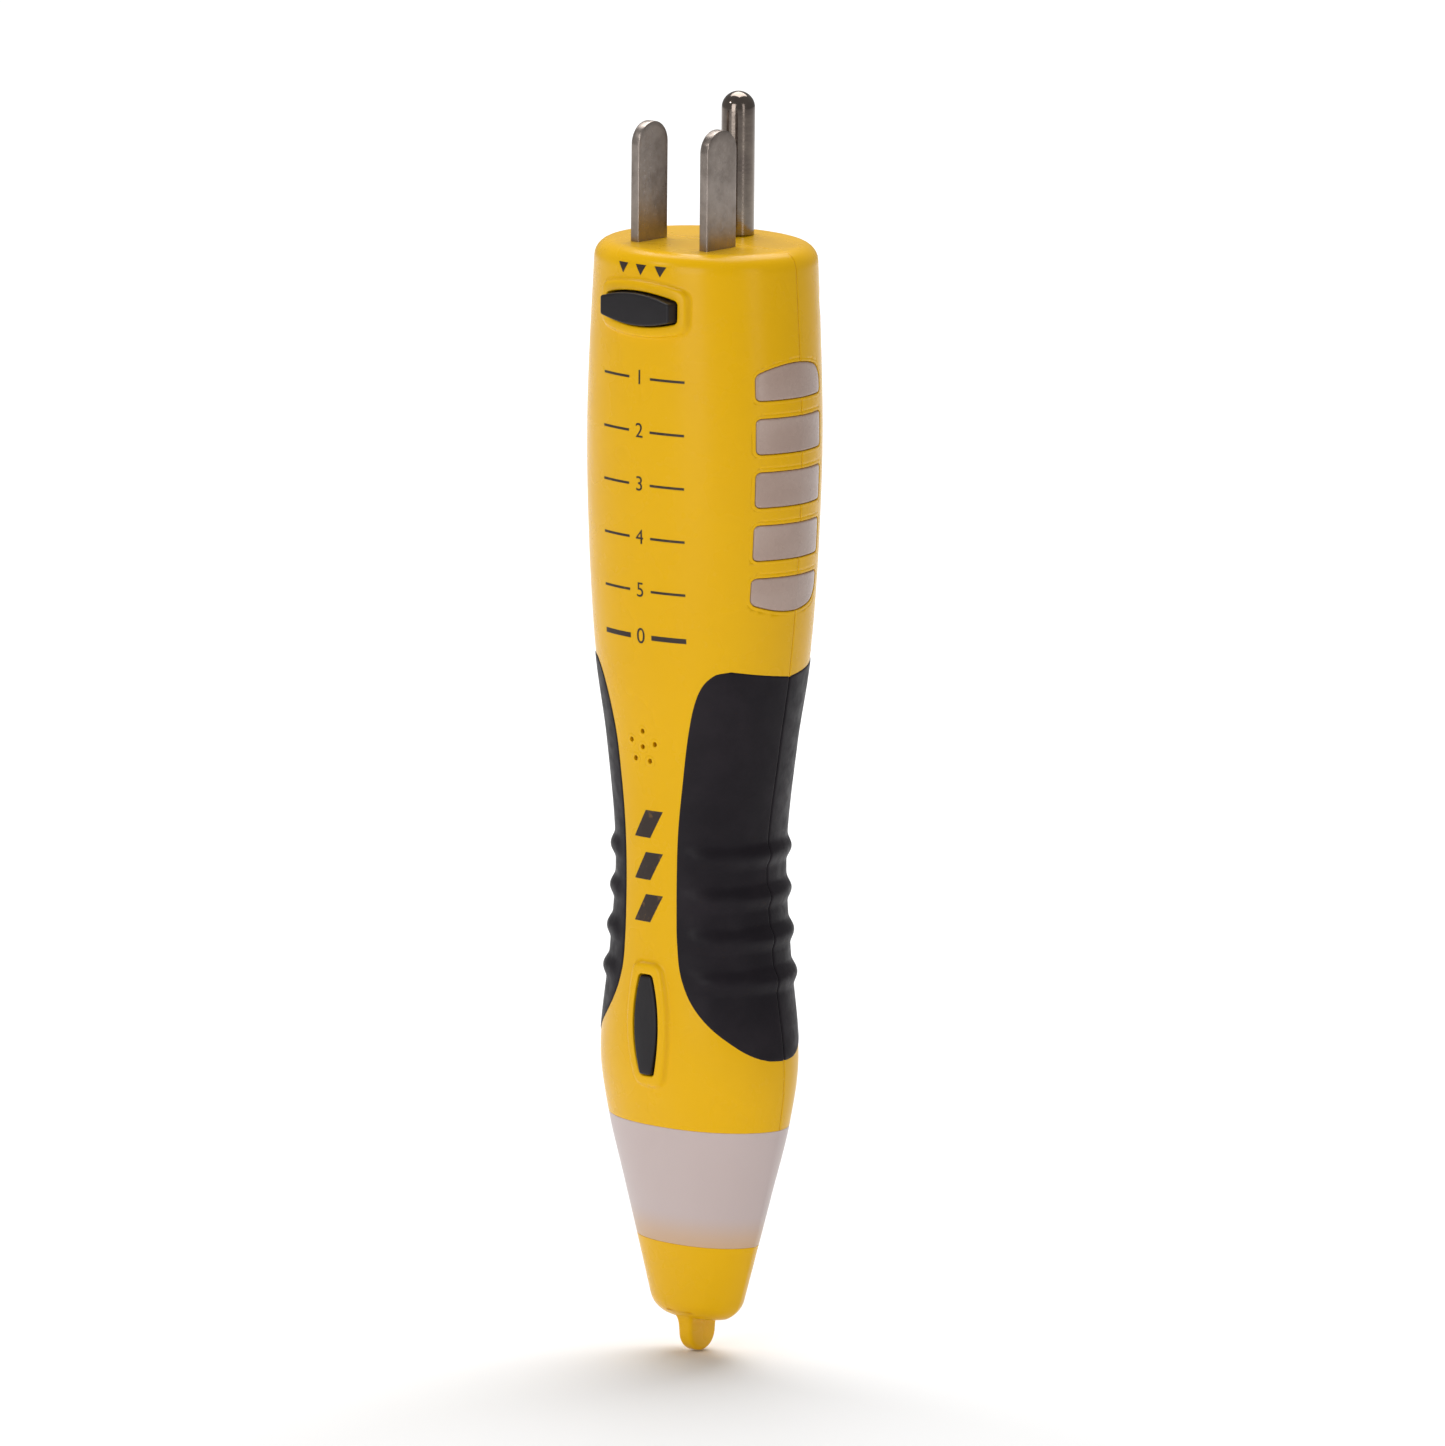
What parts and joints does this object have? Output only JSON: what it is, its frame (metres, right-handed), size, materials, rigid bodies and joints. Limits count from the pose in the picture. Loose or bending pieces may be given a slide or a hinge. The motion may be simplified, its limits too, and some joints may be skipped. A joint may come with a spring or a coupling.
{
  "type": "outlet tester plug",
  "caption": "Pen-shaped outlet tester: three prongs, light windows down both sides, ribbed rubber grips, push buttons and a translucent ring above a sensing nub.",
  "frame": {"origin": "centre of the plug face, on the body's long axis", "axes": "+Z out of the plug face along the prongs, -Y the front with the two buttons, +X towards the hot blade"},
  "size_m": [0.036, 0.0304, 0.1814],
  "materials": {
    "yellow_shell": "semi-gloss moulded",
    "black_rubber": "satin overmoulded",
    "black_button": "satin",
    "clear_window": "translucent, polished",
    "light_ring": "translucent, milky",
    "nickel": "nickel plated, brushed",
    "brass_contact": "plain",
    "circuit_board": "solder resist",
    "white_part": "moulded",
    "black_part": "moulded",
    "screw_steel": "zinc plated",
    "cell_can": "printed can",
    "resistor_body": "lacquered"
  },
  "bodies": {
    "body": {"front_shell": "yellow_shell", "rear_shell": "yellow_shell", "grip_front_left": "black_rubber", "grip_front_right": "black_rubber", "grip_rear_left": "black_rubber", "grip_rear_right": "black_rubber", "left_window_strip": "clear_window", "right_window_strip": "clear_window", "light_ring": "light_ring", "probe_tip": "yellow_shell", "neutral_blade": "nickel", "hot_blade": "nickel", "ground_pin": "nickel", "ground_strap": "brass_contact", "blade_holder": "white_part", "case_screws": "screw_steel", "battery_carrier": "black_part", "upper_battery": "cell_can", "lower_battery": "cell_can", "battery_contact": "brass_contact", "battery_spring": "nickel", "tester_board": "circuit_board", "row_1_leds": "white_part", "row_2_leds": "white_part", "row_3_leds": "white_part", "row_4_leds": "white_part", "row_5_leds": "white_part", "gfci_switch": "white_part", "gfci_test_resistor": "resistor_body", "tester_chip": "black_part", "board_resistors": "black_part", "board_diodes": "black_part", "board_capacitor": "black_part", "detector_board": "circuit_board", "detector_switch": "white_part", "detector_chip": "black_part", "buzzer": "black_part", "detector_leds": "white_part", "sensor_antenna": "brass_contact", "board_link": "nickel"},
    "gfci_button": {"gfci_button": "black_button", "gfci_switch_plunger": "black_part"},
    "detector_button": {"detector_button": "black_button", "detector_switch_plunger": "black_part"},
    "battery_door": {"battery_door": "yellow_shell", "battery_door_screw": "screw_steel"}
  },
  "joints": [
    {"name": "gfci_press", "type": "slide", "parent": "body", "child": "gfci_button", "axis": [0, 1, 0], "range_m": [0, 0.0008], "stiffness_N_per_m": 400, "springref_m": -0.0003},
    {"name": "detector_press", "type": "slide", "parent": "body", "child": "detector_button", "axis": [0, 1, 0], "range_m": [0, 0.0006], "stiffness_N_per_m": 400, "springref_m": -0.0003},
    {"name": "door_lift", "type": "slide", "parent": "body", "child": "battery_door", "axis": [0, 1, 0], "range_m": [0, 0.025]}
  ]
}
